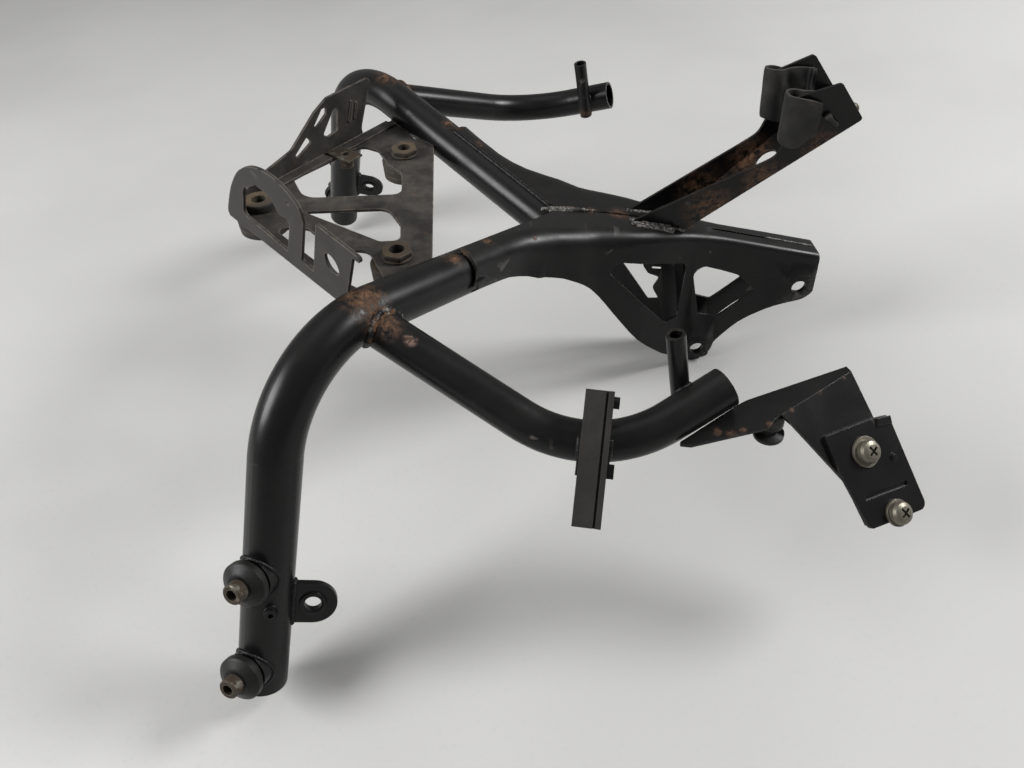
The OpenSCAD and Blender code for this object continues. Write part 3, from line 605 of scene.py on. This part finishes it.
def folded_pad(side, word, material):
    """The rubber that is folded round the front edge of an ear, and the nub that holds it."""
    path = smooth_path(PAD_FOLD, 5)
    rows = 14
    rings = []
    for i, here in enumerate(path):
        run = path[min(i + 1, len(path) - 1)] - path[max(i - 1, 0)]
        across = Vector((-run[1], run[0])).normalized() * PAD_HALF
        ring = []
        for way in (1, -1):
            for k in range(rows + 1):
                share = k / rows if way > 0 else 1 - k / rows
                along = here[2] + (here[3] - here[2]) * share
                wave = 0.35 * math.sin(along * 0.42 + here[0] * 0.5) * min(1, abs(here[0]) / 9)
                lip = PAD_HALF * 0.35 if share in (0, 1) else 0
                at = EAR_START + EAR_ALONG * along + EAR_IN * (here[0] + way * (across[0] - lip * across[0]))
                ring.append(wall_point(at[0], at[1], here[1] + wave + way * (across[1] - lip * across[1]), side))
        rings.append(ring)
    solid("pad_" + word, rings, False, material, ("channel_pad_" + word,))
    nub = []
    for x, y, z, r in ((96.3, 15.4, 1.5, 1.2), (96.4, 15.2, 3.2, 2.4), (96.6, 14.4, 4.4, 2.3), (97.0, 12.6, 4.4, 1.5),
                       (97.5, 9.8, 3.6, 1.3), (98.2, 6.2, 3.0, 1.6), (98.4, 4.4, 2.8, 0.8)):
        nub.append([wall_point(x + r * math.cos(a), y + 0.35 * r * math.sin(a), z + r * math.sin(a), side)
                    for a in [math.pi * k / 8 for k in range(16)]])
    solid("pad_nub_" + word, nub, False, material)


# A grommet from its lower rim round the outside to the bore: radius, height over the plate, and whether six sided
BODY = ((4.75, -16.5, 0), (14.8, -16.5, 0), (16.2, -15.4, 0), (16.4, -11.6, 0), (15.9, -11.2, 0), (16.5, -10.8, 0),
        (16.6, -7.2, 0), (16.1, -6.8, 0), (16.7, -6.4, 0), (16.8, -3.6, 0), (16.2, -2.4, 0), (7.3, -2.3, 0), (7.3, 0.1, 0))
ROUND_TOP = ((9.6, 0.2, 0), (10.2, 0.8, 0), (10.5, 3.4, 0), (10.5, 4.9, 0), (9.9, 5.7, 0), (4.75, 5.7, 0))
SIX_TOP = ((9.3, 0.2, 0), (9.5, 1.4, 0), (8.4, 1.8, 0), (8.6, 2.0, 1), (8.9, 2.4, 1), (8.9, 5.0, 1), (8.4, 5.6, 1),
           (4.75, 5.7, 0))
METER_TOP, METER_TILT = Vector((-369.3, 0, 110)), math.radians(5)


def grommet(name, place, top, material):
    """One rubber grommet, turned about its bore."""
    rings = []
    for k in range(96):
        a = 2 * math.pi * k / 96
        six = math.cos(math.pi / 6) / math.cos((a + math.radians(18)) % (math.pi / 3) - math.pi / 6)
        ring = []
        for r, z, flat in BODY + top:
            reach = r * (min(six * 1.13, 1.09) if flat else 1)
            x, y = place[0] + reach * math.cos(a), place[1] + reach * math.sin(a)
            ring.append(METER_TOP + Vector((x * math.cos(METER_TILT) + z * math.sin(METER_TILT), y,
                                            z * math.cos(METER_TILT) - x * math.sin(METER_TILT))))
        rings.append(ring)
    solid(name + "_turned", rings, True, material, (name,))


class STAY_OT_rubber(bpy.types.Operator):
    """Finishes bobbins and the strip, and makes the folded pads and the grommets."""

    bl_idname = "stay.rubber"
    bl_label = "Finish the rubber"

    def execute(self, context):
        dress(old_rubber("bobbin_rubber", 0.3, 0.12, rough=0.34),
              *[n for n in NODES if n.startswith(("bobbin", "well_nut"))])
        dress(old_rubber("strip_rubber", 0.7, 0.35), "rubber_strip")
        pads = old_rubber("pad_rubber", 0.9, 0.7)
        for side, word in ((-1, "left"), (1, "right")):
            folded_pad(side, word, pads)
        stained = old_rubber("grommet_rubber", 1.3, 1.3, (0.115, 0.080, 0.045))
        for name, place, top in (("grommet_front", (0, 0), ROUND_TOP), ("grommet_rear_left", (92.5, -65.8), SIX_TOP),
                                 ("grommet_rear_right", (92.5, 65.8), SIX_TOP)):
            grommet(name, place, top, stained)
        return {"FINISHED"}


class STAY_OT_hardware(bpy.types.Operator):
    """Finishes inserts, screws, washers and the bolt."""

    bl_idname = "stay.hardware"
    bl_label = "Finish the hardware"

    def execute(self, context):
        dress(tarnished_zinc("screw_zinc", 0.45), *[n for n in NODES if n.startswith(("side_screw", "side_washer"))])
        dress(tarnished_zinc("insert_zinc", 3.0), *[n for n in NODES if n.startswith("insert")])
        dress(tarnished_zinc("bolt_zinc", 2.4), "channel_bolt", "clip_nut")
        return {"FINISHED"}


class STAY_OT_welds(bpy.types.Operator):
    """Lays the weld beads where tubes and fittings meet."""

    bl_idname = "stay.welds"
    bl_label = "Lay the welds"

    def execute(self, context):
        sizes = context.scene.stay_sizes
        plain = weld_metal("painted_weld", 1.0, 0.12)
        silver = weld_metal("bare_weld", 0.30, 0.25)
        joint = weld_metal("joint_weld", 0.65, 0.6)
        jobs = [(top + "_" + side, under + "_" + side, share, joint if top == "branch_tube" else plain)
                for side in ("left", "right") for top, under, share in SIDE_WELDS]
        jobs += [(n, "main_tube", 0.6, plain) for n in NODES if n.startswith("cup")]
        jobs += [("meter_plate", "main_tube", 0.6, plain), ("channel_arm", "neck_shell", 0.9, silver)]
        jobs += [(top, under, share, plain) for top, under, share in LEFT_WELDS]
        for top, under, share, material in jobs:
            points, lines = contact_lines(top, under)
            if lines:
                lay_beads(top + "_weld", points, lines, material, sizes.bead * share, sizes.ripple * share)
        for k, (start, end, share) in enumerate(SEAM_WELDS):
            path = [Vector(start) * MM, Vector(end) * MM]
            lay_beads("seam_weld_%d" % k, path, [(0, 1)], silver, sizes.bead * share, sizes.ripple * share)
        return {"FINISHED"}


class STAY_OT_stage(bpy.types.Operator):
    """Sets the floor, the lights and the camera."""

    bl_idname = "stay.stage"
    bl_label = "Set the stage"

    def execute(self, context):
        scene = context.scene
        half = scene.stay_sizes.floor
        mesh = bpy.data.meshes.new("floor")
        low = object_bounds()[0][2] - 0.0004
        mesh.from_pydata([(-half, -half, low), (half, -half, low), (half, half, low), (-half, half, low)], [],
                         [(0, 1, 2, 3)])
        floor = bpy.data.objects.new("floor", mesh)
        scene.collection.objects.link(floor)
        floor.data.materials.append(self.floor_paint())
        floor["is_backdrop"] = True
        self.lamps(scene)
        camera = bpy.data.cameras.new("camera")
        camera.sensor_width, camera.lens = 36.0, 26.367
        camera.clip_start = 0.01
        eye = bpy.data.objects.new("camera", camera)
        right = Vector((0.99314, -0.06927, -0.09417))
        up = Vector((0.11590, 0.68886, 0.71557))
        back = Vector((0.01530, -0.72157, 0.69217))
        eye.matrix_world = Matrix.Translation((-0.2106, -0.4488, 0.3530)) @ Matrix((right, up, back)).transposed().to_4x4()
        scene.collection.objects.link(eye)
        scene.camera = eye
        scene.view_settings.view_transform = "Standard"
        return {"FINISHED"}

    def floor_paint(self):
        look = finish_of()
        f = Finish("floor_paint")
        cloud = f.noise(2.2, 3.0)
        grain = f.noise(260.0, 3.0)
        colour = f.mix(look.floor, [c * 0.90 for c in look.floor], cloud.ramp(0.35, 0.7))
        colour = f.mix(colour, [c * 0.86 for c in look.floor], grain.ramp(0.55, 0.75) * 0.35)
        return f.surface(colour, 0.62, grain * 0.3, depth=0.0002, soften=0.0001)

    def lamps(self, scene):
        world = bpy.data.worlds.new("world")
        world.use_nodes = True
        scene.world = world
        tree = world.node_tree
        background = tree.nodes["Background"]
        path = tree.nodes.new("ShaderNodeLightPath")
        mix = tree.nodes.new("ShaderNodeMix")
        mix.data_type = "FLOAT"
        mix.inputs[2].default_value, mix.inputs[3].default_value = 0.27, 0.9
        tree.links.new(path.outputs["Is Camera Ray"], mix.inputs[0])
        tree.links.new(mix.outputs[0], background.inputs["Strength"])
        background.inputs["Color"].default_value = (1, 1, 1, 1)
        for name, place, size, power in (("left", (-1.9, -0.45, 1.15), 1.0, 44), ("right", (1.75, 0.12, 1.4), 0.8, 56),
                                         ("top", (-0.3, 0.5, 2.2), 1.6, 5)):
            lamp = bpy.data.lights.new(name, "AREA")
            lamp.shape, lamp.size, lamp.energy = "DISK", size, power
            made = bpy.data.objects.new(name, lamp)
            aim = Vector((-0.2, 0, 0.05)) - Vector(place)
            made.matrix_world = Matrix.Translation(place) @ aim.to_track_quat("-Z", "Y").to_matrix().to_4x4()
            scene.collection.objects.link(made)


class STAY_PT_panel(bpy.types.Panel):
    """Lists the steps in the sidebar."""

    bl_idname = "STAY_PT_panel"
    bl_label = "Fairing stay"
    bl_space_type = "VIEW_3D"
    bl_region_type = "UI"
    bl_category = "Fairing stay"

    def draw(self, context):
        layout = self.layout
        for group in (context.scene.stay_sizes, context.scene.stay_finish):
            for key in group.__annotations__:
                layout.prop(group, key)
        for step in STEPS:
            layout.operator(step.bl_idname)


STEPS = (STAY_OT_paint, STAY_OT_bracket, STAY_OT_rubber, STAY_OT_hardware, STAY_OT_welds, STAY_OT_stage)
CLASSES = (StaySizes, StayFinish) + STEPS + (STAY_PT_panel,)


def register():
    for made in CLASSES:
        bpy.utils.register_class(made)
    bpy.types.Scene.stay_sizes = bpy.props.PointerProperty(type=StaySizes)
    bpy.types.Scene.stay_finish = bpy.props.PointerProperty(type=StayFinish)


def unregister():
    del bpy.types.Scene.stay_sizes
    del bpy.types.Scene.stay_finish
    for made in reversed(CLASSES):
        bpy.utils.unregister_class(made)


def main():
    register()
    for step in STEPS:
        group, name = step.bl_idname.split(".")
        getattr(getattr(bpy.ops, group), name)()


if __name__ == "__main__":
    main()
